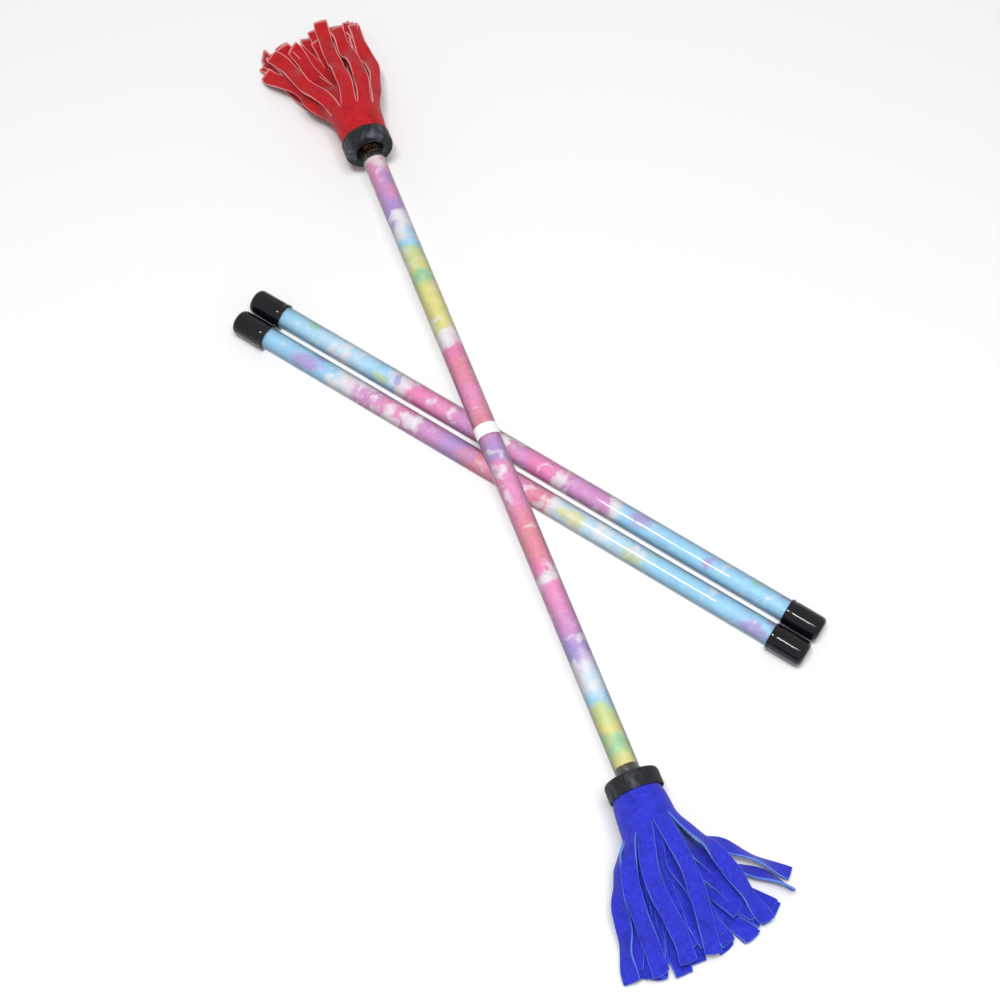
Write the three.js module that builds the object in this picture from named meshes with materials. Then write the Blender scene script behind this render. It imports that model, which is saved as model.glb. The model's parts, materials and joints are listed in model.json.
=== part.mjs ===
// Devil stick set (flower stick): a centre stick with a suede tassel at each end,
// lying across two plain hand sticks. Millimetres, +Z up.
// Origin: middle of the set's footprint, on the surface it lies on.
// +X runs along the centre stick, from its red tassel to its blue one.
import * as THREE from "three";

// ---- Driving dimensions -------------------------------------------------------------
const handStickLength = 420; // over both end caps
const collarSpan = 459; // between the two collars' stick-side faces
const crossingAngle = THREE.MathUtils.degToRad(36.2); // hand sticks against centre stick
const handStickPitch = 18.4; // between the two hand sticks' axes
const pairCentreX = 18.6; // middle of the pair, measured along the centre stick
const centreStickY = -11.8; // centre stick's axis, measured from the middle of the pair

// The section that all three sticks share: radii of rod, printed sleeve and clear grip.
const rodRadius = 4.5;
const printInner = 4.55;
const printOuter = 4.8;
const gripInner = 4.85;
const gripOuter = 7.5;

const cap = { outer: 8.5, bore: 7.55, length: 24, endWall: 1.7, corner: 3.5, bead: 0.25 };
const label = { x: -4.7, width: 8, inner: 7.55, outer: 7.75 };
const collar = { outer: 16.5, inner: 15.3, length: 11, shoulder: 2.4, mouth: 9.8, face: 2.6 };
const neckTape = { red: -7.5, blue: -6.7, end: 24 }; // from the collar's stick-side face, outwards
const binding = { start: 4.4, end: 9.4, inner: 14.35, outer: 15.1 };
const cuff = { start: 3.2, bore: 7.65, radius: 15.2, bare: 5 }; // bare: uncovered length
const fringe = {
  reach: 100, // from the flex centre to the longest tips
  socket: 15.6, // radius round the flex centre that the fringe keeps clear
  leaf: 2, // thickness of a leaf of strips
  leafPitch: 3.1, // from one leaf to the next one inside it
  slit: 13, // where the slits start, from the flex centre
  rootShare: 0.86, // a strip's share of its pitch where its slits start
  tipShare: 0.46, // and at its tip, where the strips have spread
  fall: 55, // length over which the fringe sinks to the table
  tipHalfHeight: 9,
};
const leafStrips = { outer: 9, middle: 8, inner: 6 };

const capFit = 0.3; // clearance between a stick's end and its cap's end wall
const restGap = 0.4; // clearance where the centre stick lies on the hand sticks
const sides = 28; // round pieces
const slope = 3; // straight pieces in a quarter turn of rounding

// ---- Derived heights ------------------------------------------------------------------
const handStickZ = cap.outer;
const centreStickZ = handStickZ + gripOuter + restGap + gripOuter;
const flexCentre = collar.length + cuff.bare; // from the collar's stick-side face
const rodOverhang = flexCentre + 10; // rod and grip beyond the collar's stick-side face

// ---- Materials --------------------------------------------------------------------------
const paint = (color, roughness, extra = {}) =>
  new THREE.MeshStandardMaterial({ color, roughness, metalness: 0, ...extra });
const material = {
  rod: paint(0xd9c79a, 0.6),
  print: paint(0xd890b4, 0.5),
  handPrint: paint(0x9ccfe8, 0.5),
  grip: paint(0xf4f7f8, 0.15, { transparent: true, opacity: 0.35 }),
  label: paint(0xf6f5f3, 0.4),
  vinyl: paint(0x17181d, 0.2),
  rubber: paint(0x3a3d40, 0.8),
  tape: paint(0x121212, 0.3),
  redSuede: paint(0xc42a30, 0.95),
  blueSuede: paint(0x3b3bd0, 0.95),
};

// ---- Shapes -----------------------------------------------------------------------------
// Turns a closed [radius, position] outline about the X axis. It runs towards +X outside.
function turned(outline) {
  const points = outline.map(([radius, x]) => new THREE.Vector2(radius, x));
  return new THREE.LatheGeometry(points, sides).rotateZ(-Math.PI / 2);
}

function rodBetween(radius, start, end) {
  return turned([[0, start], [radius, start], [radius, end], [0, end]]);
}

function sleeveBetween(inner, outer, start, end) {
  return turned([[inner, start], [outer, start], [outer, end], [inner, end], [inner, start]]);
}

// Points of a rounding about (radius, x), from one angle to another, 0 facing outwards.
function rounding(radius, x, size, from, to, steps = slope) {
  return Array.from({ length: steps + 1 }, (_, i) => {
    const angle = from + ((to - from) * i) / steps;
    return [radius + size * Math.cos(angle), x + size * Math.sin(angle)];
  });
}

// Closed-end vinyl cap, mouth at 0 and end at +X, with a rolled bead round its mouth.
function capShape() {
  const { outer, bore, length, endWall, corner, bead } = cap;
  return turned([
    [0, length - endWall],
    [bore, length - endWall],
    [bore, 0],
    [outer - 2 * bead, 0],
    [outer, 2 * bead],
    [outer, 1.6],
    [outer - bead, 2.4],
    [outer - bead, 3.2],
    ...rounding(outer - corner, length - corner, corner, 0, Math.PI / 2),
    [0, length],
  ]);
}

// Rubber collar: a band round the suede, turned in over its end to a mouth for the stick.
function collarShape() {
  const { outer, inner, length, shoulder, mouth, face } = collar;
  return turned([
    [mouth, face],
    [mouth, 1.2],
    [mouth + 0.8, 0.4],
    ...rounding(outer - shoulder, shoulder, shoulder, -Math.PI / 2, 0),
    [outer, length - 0.6],
    [outer - 0.5, length],
    [inner, length],
    [inner, face],
    [mouth, face],
  ]);
}

// Rolled suede inside and just beyond the collar. Its domed end is centred on the flex
// centre, so that the fringe can turn round it.
function cuffShape() {
  const { start, bore, radius } = cuff;
  const lastAngle = Math.acos(bore / radius);
  return turned([
    [bore, start],
    [radius - 0.6, start],
    [radius - 0.1, start + 0.5],
    [radius - 0.1, binding.start - 0.1],
    [binding.inner - 0.1, binding.start - 0.1],
    [binding.inner - 0.1, binding.end + 0.1],
    [radius - 0.1, binding.end + 0.1],
    [radius - 0.1, collar.length],
    ...rounding(0, flexCentre, radius, 0, lastAngle, 5),
    [bore, start],
  ]);
}

// ---- Fringe -----------------------------------------------------------------------------
// Where a point of the fringe lies, seen from the flex centre: along is its distance down
// the tassel, angle its place round it (a quarter turn is the top), depth its distance in
// from the outer face, and fan the tassel's spread to +Y and to -Y.
function fringePoint(along, angle, depth, fan) {
  const side = Math.cos(angle);
  const spread = side * (side > 0 ? fan.positive : fan.negative);
  const free = Math.max(0, along - fringe.slit);
  const sunk = THREE.MathUtils.smoothstep(along, 10, 10 + fringe.fall);
  const halfHeight = THREE.MathUtils.lerp(cuff.radius, fringe.tipHalfHeight, sunk);
  const drop = sunk * (centreStickZ - fringe.tipHalfHeight);
  return [
    along - free * (1 - Math.cos(spread)),
    (cuff.radius - depth) * side + free * Math.sin(spread),
    (halfHeight - depth) * Math.sin(angle) - drop,
  ];
}

// One leaf of the fringe: a ring of leather, slit into strips. It is laid out as a grid of
// cells, three columns a strip, whose third column is leather at the root and slit beyond.
function leafShape(strips, leafIndex, fan) {
  const depth = leafIndex * fringe.leafPitch;
  const innerRadius = cuff.radius - depth - fringe.leaf;
  const root = Math.sqrt(fringe.socket ** 2 - innerRadius ** 2);
  const columns = 3 * strips;
  const slit = Math.max(fringe.slit, root + 2);
  const rows = [root, slit, 28, 44, 62, 82, fringe.reach];
  const filled = (column, row) =>
    row >= 0 && row < rows.length - 1 && (column % 3 !== 2 || row === 0);

  const positions = [];
  for (let column = 0; column < columns; column += 1) {
    const strip = Math.floor(column / 3);
    const middle = Math.PI / 2 + (strip * 2 * Math.PI) / strips;
    const shortfall = 0.12 * Math.cos(middle) ** 2 + 0.03 * (strip % 3);
    rows.forEach((along, row) => {
      const spread = Math.max(0, along - slit) / (fringe.reach - slit);
      const share = THREE.MathUtils.lerp(fringe.rootShare, fringe.tipShare, spread);
      const angle = middle + (((column % 3) - 1) * share * Math.PI) / strips;
      const held = row < rows.length - 1 ? along : along * (1 - shortfall);
      positions.push(...fringePoint(held, angle, depth, fan));
      positions.push(...fringePoint(held, angle, depth + fringe.leaf, fan));
    });
  }

  const index = [];
  const outer = (column, row) => 2 * ((column % columns) * rows.length + row);
  const inner = (column, row) => outer(column, row) + 1;
  const quad = (a, b, c, d) => index.push(a, c, b, a, d, c);
  const wall = (c1, r1, c2, r2) =>
    quad(outer(c1, r1), inner(c1, r1), inner(c2, r2), outer(c2, r2));
  for (let column = 0; column < columns; column += 1) {
    const next = column + 1;
    for (let row = 0; row < rows.length - 1; row += 1) {
      if (!filled(column, row)) continue;
      quad(outer(column, row), outer(column, row + 1), outer(next, row + 1), outer(next, row));
      quad(inner(column, row), inner(next, row), inner(next, row + 1), inner(column, row + 1));
      if (!filled(column, row - 1)) wall(next, row, column, row);
      if (!filled(column, row + 1)) wall(column, row + 1, next, row + 1);
      if (!filled((column + columns - 1) % columns, row)) wall(column, row, column, row + 1);
      if (!filled(next % columns, row)) wall(next, row + 1, next, row);
    }
  }
  const geometry = new THREE.BufferGeometry();
  geometry.setAttribute("position", new THREE.Float32BufferAttribute(positions, 3));
  geometry.setIndex(index);
  geometry.computeVertexNormals();
  return geometry;
}

// ---- Assemblies -------------------------------------------------------------------------
function add(group, name, geometry, look) {
  const mesh = new THREE.Mesh(geometry, look);
  mesh.name = name;
  group.add(mesh);
  return mesh;
}

function handStick(name) {
  const stick = new THREE.Group();
  const end = handStickLength / 2 - cap.endWall - capFit;
  add(stick, `${name}_core_rod`, rodBetween(rodRadius, -end, end), material.rod);
  const print = sleeveBetween(printInner, printOuter, -end, end);
  add(stick, `${name}_print_sleeve`, print, material.handPrint);
  add(stick, `${name}_grip_sleeve`, sleeveBetween(gripInner, gripOuter, -end, end), material.grip);
  const capMouth = handStickLength / 2 - cap.length;
  add(stick, `${name}_cap_right`, capShape(), material.vinyl).position.x = capMouth;
  const left = add(stick, `${name}_cap_left`, capShape(), material.vinyl);
  left.position.x = -capMouth;
  left.rotation.z = Math.PI;
  return stick;
}

// Everything at one end of the centre stick, running to +X from the collar's inner face.
function tasselEnd(name, suede, fan, neckStart) {
  const end = new THREE.Group();
  const tape = sleeveBetween(printInner, printOuter, neckStart, neckTape.end);
  add(end, `${name}_neck_tape`, tape, material.tape);
  add(end, `${name}_rubber_collar`, collarShape(), material.rubber);
  const winding = sleeveBetween(binding.inner, binding.outer, binding.start, binding.end);
  add(end, `${name}_binding_tape`, winding, material.tape);
  add(end, `${name}_tassel_cuff`, cuffShape(), suede);
  Object.entries(leafStrips).forEach(([leaf, strips], leafIndex) => {
    const mesh = add(end, `${name}_fringe_${leaf}`, leafShape(strips, leafIndex, fan), suede);
    mesh.position.x = flexCentre;
  });
  return end;
}

function fanOf(positiveDegrees, negativeDegrees) {
  return {
    positive: THREE.MathUtils.degToRad(positiveDegrees),
    negative: THREE.MathUtils.degToRad(negativeDegrees),
  };
}

function centreStick() {
  const stick = new THREE.Group();
  const end = collarSpan / 2 + rodOverhang;
  const printLeft = -collarSpan / 2 - neckTape.red + 0.1;
  const printRight = collarSpan / 2 + neckTape.blue - 0.1;
  add(stick, "centre_core_rod", rodBetween(rodRadius, -end, end), material.rod);
  const print = sleeveBetween(printInner, printOuter, printLeft, printRight);
  add(stick, "centre_print_sleeve", print, material.print);
  add(stick, "centre_grip_sleeve", sleeveBetween(gripInner, gripOuter, -end, end), material.grip);
  const band = sleeveBetween(label.inner, label.outer, -label.width / 2, label.width / 2);
  add(stick, "label_band", band, material.label).position.x = label.x;
  const blue = tasselEnd("blue", material.blueSuede, fanOf(42, 23), neckTape.blue);
  blue.position.x = collarSpan / 2;
  const red = tasselEnd("red", material.redSuede, fanOf(28, 24), neckTape.red);
  red.position.x = -collarSpan / 2;
  red.rotation.z = Math.PI;
  stick.add(blue, red);
  return stick;
}

// ---- Set ----------------------------------------------------------------------------------
const set = new THREE.Group();

const centre = centreStick();
centre.position.set(0, centreStickY, centreStickZ);

const pair = new THREE.Group();
pair.position.set(pairCentreX, 0, handStickZ);
pair.rotation.z = crossingAngle;
const far = handStick("far");
far.position.y = handStickPitch / 2;
const near = handStick("near");
near.position.y = -handStickPitch / 2;
pair.add(far, near);

set.add(centre, pair);
export default set;
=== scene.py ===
"""Looks of the devil stick set: two capped hand sticks and a tasselled centre stick on a pale table.

Lengths are metres, angles in the tables are degrees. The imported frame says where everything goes.
"""

import json
import math
import random

import bmesh
import bpy
import numpy as np
from mathutils import Matrix, Vector


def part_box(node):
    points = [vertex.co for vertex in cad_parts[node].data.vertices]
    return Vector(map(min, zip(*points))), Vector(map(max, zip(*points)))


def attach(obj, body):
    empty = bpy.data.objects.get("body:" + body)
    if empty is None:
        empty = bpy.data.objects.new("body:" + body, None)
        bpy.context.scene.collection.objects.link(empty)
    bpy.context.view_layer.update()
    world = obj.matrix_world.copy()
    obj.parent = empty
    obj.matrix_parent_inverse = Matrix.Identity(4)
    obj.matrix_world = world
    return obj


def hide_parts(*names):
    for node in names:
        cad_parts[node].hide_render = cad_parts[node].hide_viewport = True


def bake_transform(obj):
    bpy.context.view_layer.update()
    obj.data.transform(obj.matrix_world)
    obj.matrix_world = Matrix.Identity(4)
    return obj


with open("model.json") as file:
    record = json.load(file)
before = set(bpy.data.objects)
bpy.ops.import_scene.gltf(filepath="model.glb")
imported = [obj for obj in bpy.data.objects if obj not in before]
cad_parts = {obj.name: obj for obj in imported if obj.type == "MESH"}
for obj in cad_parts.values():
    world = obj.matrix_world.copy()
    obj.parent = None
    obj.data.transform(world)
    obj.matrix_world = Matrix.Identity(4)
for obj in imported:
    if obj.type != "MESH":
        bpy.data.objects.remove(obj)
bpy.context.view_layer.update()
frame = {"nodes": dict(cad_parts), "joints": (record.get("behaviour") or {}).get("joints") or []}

MM = 0.001

# ---------------- where the frame puts things

JOINTS = {joint["name"]: joint for joint in frame["joints"]}
FLEX = {end: Vector(JOINTS[f"{end}_fringe_flop"]["pos_m"]) for end in ("red", "blue")}
CENTRE_AXIS_Y = FLEX["blue"].y
CENTRE_AXIS_Z = FLEX["blue"].z
SLIDE = Vector(JOINTS["far_stick_slide"]["axis"])
HAND_ALONG = Vector((SLIDE.y, -SLIDE.x, 0)).normalized()
HAND_TURN = Matrix.Rotation(math.atan2(HAND_ALONG.y, HAND_ALONG.x), 4, "Z")
# The centre stick's own frame, +X from red to blue, in the row frame.
CENTRE = Matrix.Translation((0, CENTRE_AXIS_Y, CENTRE_AXIS_Z))


def around(along, radius, angle):
    """A point round local X, from the top."""
    return (along, radius * math.sin(angle), radius * math.cos(angle))


def span(node, place):
    """Where a CAD node starts and ends along the local X of a place."""
    back = place.inverted()
    along = [(back @ vertex.co).x for vertex in frame["nodes"][node].data.vertices]
    return min(along), max(along)


# ---------------- material graphs


class Graph:
    """A material and its nodes, with a short way to add and join them."""

    def __init__(self, name, **surface):
        self.material = bpy.data.materials.new(name)
        self.material.use_nodes = True
        self.tree = self.material.node_tree
        self.surface = self.tree.nodes["Principled BSDF"]
        for socket, value in surface.items():
            self.feed(self.surface, socket.replace("_", " "), value)

    def feed(self, node, key, value):
        if isinstance(value, bpy.types.NodeSocket):
            self.tree.links.new(value, node.inputs[key])
        else:
            node.inputs[key].default_value = value

    def node(self, kind, settings=None, inputs=None):
        made = self.tree.nodes.new("ShaderNode" + kind)
        for key, value in (settings or {}).items():
            setattr(made, key, value)
        for key, value in (inputs or {}).items():
            self.feed(made, key, value)
        return made

    def math(self, operation, a, b):
        return self.node("Math", {"operation": operation}, {0: a, 1: b}).outputs[0]

    def vector_math(self, operation, a, b):
        return self.node("VectorMath", {"operation": operation}, {0: a, 1: b}).outputs[0]

    def attribute(self, name, output="Fac"):
        return self.node("Attribute", {"attribute_name": name}).outputs[output]

    def noise(self, place, scale, detail=2.0, roughness=0.5, distortion=0.0, output="Fac"):
        """A cloud of noise from 0 to 1 at a scale per metre."""
        inputs = {"Vector": place, "Scale": scale, "Detail": detail, "Roughness": roughness}
        inputs["Distortion"] = distortion
        return self.node("TexNoise", None, inputs).outputs[output]

    def between(self, value, low, high, out_low=0.0, out_high=1.0):
        """A smooth step from out_low to out_high as value goes from low to high."""
        inputs = {"Value": value, "From Min": low, "From Max": high}
        inputs.update({"To Min": out_low, "To Max": out_high})
        made = self.node("MapRange", {"interpolation_type": "SMOOTHSTEP"}, inputs)
        return made.outputs["Result"]

    def mix(self, factor, a, b, blend="MIX"):
        made = self.node("Mix", {"data_type": "RGBA", "blend_type": blend})
        self.feed(made, 0, factor)
        self.feed(made, 6, a)
        self.feed(made, 7, b)
        return made.outputs[2]

    def paint(self, base):
        self.feed(self.surface, "Base Color", base)

    def emboss(self, height, strength, distance):
        """Bumps the surface by a height from 0 to 1, over a distance in metres."""
        inputs = {"Height": height, "Strength": strength, "Distance": distance}
        self.feed(self.surface, "Normal", self.node("Bump", None, inputs).outputs["Normal"])

    def object_place(self):
        return self.node("TexCoord").outputs["Object"]

    def mapped(self, place, shift=(0, 0, 0), scale=(1, 1, 1)):
        inputs = {"Vector": place, "Location": shift, "Scale": scale}
        return self.node("Mapping", None, inputs).outputs["Vector"]


# How much light falls on the set, and how much brighter the print looks inside its clear tube.
LIGHT_LEVEL = 1.15
TUBE_SHARE = 1.27
BRIGHTEST = 0.98


def colour(red, green, blue, light=LIGHT_LEVEL):
    """The surface colour that looks like these screen values, 0 to 255, under that much light."""
    linear = []
    for value in (red, green, blue):
        share = value / 255
        seen = share / 12.92 if share <= 0.04045 else ((share + 0.055) / 1.055) ** 2.4
        linear.append(min(seen / light, BRIGHTEST))
    return (*linear, 1.0)


def dye(red, green, blue):
    """A dye that looks like these screen values through the clear tube."""
    return colour(red, green, blue, LIGHT_LEVEL * TUBE_SHARE)


# ---------------- tie-dye print

DYES = {
    "white": dye(229, 226, 230),
    "cream": dye(226, 212, 212),
    "sky": dye(150, 208, 240),
    "pale_sky": dye(186, 222, 241),
    "hot": dye(230, 124, 178),
    "pink": dye(228, 140, 188),
    "salmon": dye(221, 132, 152),
    "mauve": dye(205, 140, 196),
    "purple": dye(174, 140, 206),
    "violet": dye(148, 148, 214),
    "yellow": dye(219, 215, 130),
    "lime": dye(196, 214, 140),
    "green": dye(150, 205, 156),
}

# Each print is a list of (where along the stick in mm, dye), from its left end to its right end.
PRINT_BANDS = {
    "centre": [
        (-224, "cream"), (-218, "cream"), (-212, "pink"), (-200, "mauve"), (-190, "pink"),
        (-178, "purple"), (-170, "white"), (-160, "white"), (-151, "sky"), (-141, "lime"),
        (-132, "yellow"), (-121, "green"), (-110, "yellow"), (-82, "yellow"), (-75, "white"),
        (-68, "hot"), (-50, "salmon"), (-30, "pink"), (-14, "salmon"), (2, "mauve"),
        (16, "purple"), (27, "pink"), (45, "pink"), (60, "salmon"), (78, "salmon"),
        (92, "hot"), (100, "white"), (110, "pink"), (130, "mauve"), (150, "purple"),
        (164, "white"), (180, "sky"),
    ],
    "near": [
        (-186, "sky"), (-134, "sky"), (-125, "white"), (-115, "mauve"), (-88, "pink"),
        (-62, "mauve"), (-40, "purple"), (-26, "salmon"), (6, "pink"), (26, "salmon"),
        (31, "white"), (38, "pale_sky"), (52, "pale_sky"), (78, "pale_sky"), (104, "sky"), (188, "sky"),
    ],
    "far": [
        (-186, "sky"), (-138, "pale_sky"), (-104, "sky"), (-94, "white"), (-86, "hot"),
        (-62, "pink"), (-48, "mauve"), (-20, "salmon"), (-4, "mauve"), (10, "hot"),
        (24, "pink"), (34, "mauve"), (56, "mauve"), (64, "white"), (74, "sky"), (188, "sky"),
    ],
}
PRINT_TAIL = {"centre": [(190, "lime"), (200, "yellow"), (207, "green"), (214, "lime"), (222, "yellow")]}

# Where the cloth was bleached: (along in mm, how much, 0 to 1), from left to right.
PRINT_BLEACH = {
    "centre": [
        (-222, 0.3), (-208, 0.1), (-182, 0.2), (-172, 0.8), (-150, 0.3), (-92, 0.1), (-76, 0.7),
        (-64, 0.1), (-10, 0.0), (20, 0.1), (38, 0.6), (54, 0.0), (90, 0.1), (99, 0.7), (108, 0.1),
        (128, 0.4), (142, 0.1), (165, 0.6), (182, 0.3), (205, 0.1),
    ],
    "near": [
        (-186, 0.0), (-142, 0.0), (-126, 0.8), (-98, 0.55), (-68, 0.6), (-56, 0.1), (20, 0.0),
        (31, 0.7), (60, 0.6), (95, 0.4), (108, 0.0), (188, 0.0),
    ],
    "far": [
        (-186, 0.0), (-132, 0.6), (-112, 0.1), (-92, 0.8), (-82, 0.0), (-66, 0.1), (-55, 0.6),
        (-44, 0.1), (-10, 0.8), (2, 0.0), (18, 0.0), (27, 0.8), (38, 0.7), (50, 0.5), (64, 0.8),
        (80, 0.2), (92, 0.0), (188, 0.0),
    ],
}

# Spots of dye: (along in mm, angle round from the top in degrees, length mm, reach round in mm, dye).
PRINT_SPOTS = {
    "centre": [
        (-186, -40, 10, 5, "purple"), (-172, -70, 9, 4, "violet"), (-204, 30, 7, 4, "purple"),
        (8, 10, 9, 5, "purple"), (42, -50, 6, 3, "white"), (-78, 40, 5, 4, "white"),
        (152, -60, 11, 4, "violet"), (168, 50, 10, 4, "pale_sky"), (-156, 40, 9, 5, "sky"),
        (-124, -20, 7, 4, "green"), (210, 20, 7, 4, "green"),
    ],
    "near": [
        (-153, -30, 12, 5, "purple"), (-146, 60, 8, 3, "violet"), (46, -20, 10, 5, "yellow"),
        (90, -50, 9, 4, "lime"), (101, 60, 4, 3, "green"), (176, -50, 12, 5, "purple"),
        (184, 60, 6, 3, "purple"), (-42, 50, 10, 5, "purple"),
    ],
    "far": [
        (-164, 50, 5, 4, "green"), (-108, -50, 7, 3, "lime"), (-97, 0, 2, 6, "violet"),
        (83, 20, 7, 6, "purple"), (132, -10, 3, 6, "purple"), (163, 50, 4, 3, "green"),
        (182, 70, 5, 3, "violet"),
    ],
}
PRINT_SHIFT = {"centre": (0.0, 0.0, 0.0), "near": (3.1, 0.4, 0.0), "far": (7.7, 0.9, 0.3)}

# How far the dye runs, in metres: bands along the stick in large and small waves, spots every way.
DRIFT = 0.028
FINE_DRIFT = 0.007
SWIRL = (0.009, 0.006, 0.006)


def ramp_along(graph, along, stops, low, high):
    """Colours in order along the stick, from position low to position high in metres."""
    share = graph.node("MapRange", None, {"Value": along, "From Min": low, "From Max": high})
    ramp = graph.node("ValToRGB", None, {"Fac": share.outputs["Result"]})
    elements = ramp.color_ramp.elements
    ramp.color_ramp.interpolation = "EASE"
    while len(elements) < len(stops):
        elements.new(1.0)
    for element, (where, shade) in zip(elements, stops):
        element.position = (where * MM - low) / (high - low)
        element.color = shade
    return ramp.outputs["Color"]


def dye_bands(graph, along, bands):
    """The dyes of a list of bands, in order along the stick."""
    low, high = bands[0][0] * MM, bands[-1][0] * MM
    return ramp_along(graph, along, [(where, DYES[name]) for where, name in bands], low, high)


def dye_spot(graph, place, spot, ragged, under):
    """One ragged spot of dye over the colour under it."""
    where, angle, length, reach, name = spot
    centre = around(where * MM, PRINT_RADIUS, math.radians(angle))
    size = (1 / (length * MM), 1 / (reach * MM), 1 / (reach * MM))
    scaled = graph.vector_math("MULTIPLY", graph.vector_math("SUBTRACT", place, centre), size)
    distance = graph.node("VectorMath", {"operation": "LENGTH"}, {0: scaled}).outputs["Value"]
    share = graph.between(graph.math("ADD", distance, ragged), 0.75, 1.65, 0.8, 0.0)
    return graph.mix(share, under, DYES[name])


def tie_dye(stick):
    """Printed foil with soft clouds of dye that run into each other."""
    graph = Graph(f"tie_dye_{stick}", Roughness=0.45, Specular_IOR_Level=0.2)
    place = graph.object_place()
    clouds = graph.mapped(place, PRINT_SHIFT[stick])
    axes = graph.node("SeparateXYZ", None, {"Vector": place}).outputs
    drift = graph.math("SUBTRACT", graph.noise(clouds, 80, 2, 0.5), 0.5)
    fine_drift = graph.math("SUBTRACT", graph.noise(clouds, 260, 4, 0.65), 0.5)
    drift = graph.math("MULTIPLY", drift, DRIFT)
    fine_drift = graph.math("MULTIPLY", fine_drift, FINE_DRIFT)
    along = graph.math("ADD", axes["X"], graph.math("ADD", drift, fine_drift))
    bands = PRINT_BANDS[stick]
    dyed = dye_bands(graph, along, bands)
    if stick in PRINT_TAIL:
        tail = [bands[-1], *PRINT_TAIL[stick]]
        past = graph.math("GREATER_THAN", along, tail[0][0] * MM)
        dyed = graph.mix(past, dyed, dye_bands(graph, along, tail))
    swirl = graph.noise(clouds, 150, 1.5, output="Color")
    centred = graph.vector_math("SUBTRACT", swirl, (0.5, 0.5, 0.5))
    run = graph.vector_math("ADD", place, graph.vector_math("MULTIPLY", centred, SWIRL))
    ragged = graph.math("MULTIPLY", graph.noise(clouds, 330, 2, 0.55), 0.7)
    for spot in PRINT_SPOTS[stick]:
        dyed = dye_spot(graph, run, spot, ragged, dyed)
    zones = [(where, (much, much, much, 1.0)) for where, much in PRINT_BLEACH[stick]]
    zone = ramp_along(graph, along, zones, zones[0][0] * MM, zones[-1][0] * MM)
    cloud = graph.noise(graph.mapped(run, scale=(1.0, 0.75, 0.75)), 130, 2.5, 0.5, 0.3)
    bleached = graph.math("ADD", cloud, graph.math("MULTIPLY", zone, 0.24))
    dyed = graph.mix(graph.between(bleached, 0.62, 0.78, 0.0, 0.95), dyed, DYES["white"])
    mottle = graph.between(graph.noise(clouds, 480, 3, 0.6), 0.35, 0.75, 0.0, 0.16)
    dyed = graph.mix(mottle, dyed, DYES["white"])
    shade = graph.between(graph.noise(clouds, 190, 2), 0.35, 0.7, 0.0, 0.14)
    dyed = graph.mix(shade, dyed, DYES["mauve"], "MULTIPLY")
    graph.paint(dyed)
    return graph.material


# ---------------- other materials


def clear_tube_material():
    """Clear flexible tubing, pressed onto the print, with a faint surface ripple."""
    graph = Graph("clear_tube", Roughness=0.035, IOR=1.46, Transmission_Weight=1.0)
    graph.paint((1, 1, 1, 1))
    place = graph.mapped(graph.object_place(), scale=(0.12, 1, 1))
    graph.emboss(graph.noise(place, 260, 2), 0.02, 0.0004)
    lamp_ray = graph.node("LightPath").outputs["Is Shadow Ray"]
    clear = graph.surface.outputs[0]
    lamps_through = graph.node("BsdfTransparent", None, {"Color": (0.92, 0.92, 0.92, 1)}).outputs[0]
    mixed = graph.node("MixShader", None, {0: lamp_ray, 1: clear, 2: lamps_through})
    graph.feed(graph.tree.nodes["Material Output"], "Surface", mixed.outputs[0])
    return graph.material


def vinyl_material():
    """Dipped black vinyl: glossy, with faint ripples and dust."""
    graph = Graph("black_vinyl", Specular_IOR_Level=0.2, Coat_Weight=0.25, Coat_Roughness=0.06)
    place = graph.object_place()
    dust = graph.between(graph.noise(place, 900, 4, 0.7), 0.55, 0.85)
    graph.paint(graph.mix(dust, colour(12, 13, 18), colour(34, 36, 43)))
    graph.feed(graph.surface, "Roughness", graph.between(dust, 0, 1, 0.13, 0.34))
    graph.emboss(graph.noise(place, 190, 3), 0.25, 0.0006)
    return graph.material


def rubber_material():
    """Matt dark rubber with pale scuffs along it and a fine grain."""
    graph = Graph("black_rubber", Specular_IOR_Level=0.25)
    place = graph.object_place()
    cloud = graph.noise(graph.mapped(place, scale=(0.35, 1, 1)), 110, 4, 0.62, 0.6)
    scuff = graph.between(cloud, 0.48, 0.78, 0.0, 1.0)
    dust = graph.between(graph.noise(place, 1500, 3, 0.7), 0.56, 0.72, 0.0, 0.5)
    grey = graph.mix(scuff, colour(27, 28, 32), colour(102, 106, 116))
    graph.paint(graph.mix(dust, grey, colour(112, 114, 117)))
    graph.feed(graph.surface, "Roughness", graph.between(cloud, 0.3, 0.7, 0.5, 0.74))
    grain = graph.math("ADD", graph.noise(place, 1300, 3), graph.math("MULTIPLY", cloud, 0.8))
    graph.emboss(grain, 0.35, 0.0003)
    return graph.material


def tape_material(name, dark, light):
    """Glossy stretched tape with a streaky lighter tone; on the neck the amber of the streaks is a
    painted reflection of the print seen through the clear tube.
    """
    graph = Graph(name, Roughness=0.14, Coat_Weight=1.0, Coat_Roughness=0.05)
    place = graph.object_place()
    stretched = graph.noise(graph.mapped(place, scale=(1, 0.4, 0.4)), 480, 3)
    graph.paint(graph.mix(graph.between(stretched, 0.42, 0.66), dark, light))
    graph.emboss(graph.noise(place, 700, 2), 0.3, 0.0003)
    return graph.material


def paper_material():
    """A blank white paper label with a soft fibre."""
    graph = Graph("white_label", Roughness=0.45, Coat_Weight=0.15)
    fibre = graph.noise(graph.object_place(), 1700, 4, 0.7)
    whiter = graph.between(fibre, 0.35, 0.7)
    graph.paint(graph.mix(whiter, colour(238, 238, 238), colour(248, 248, 248)))
    graph.emboss(fibre, 0.15, 0.0001)
    return graph.material


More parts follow.
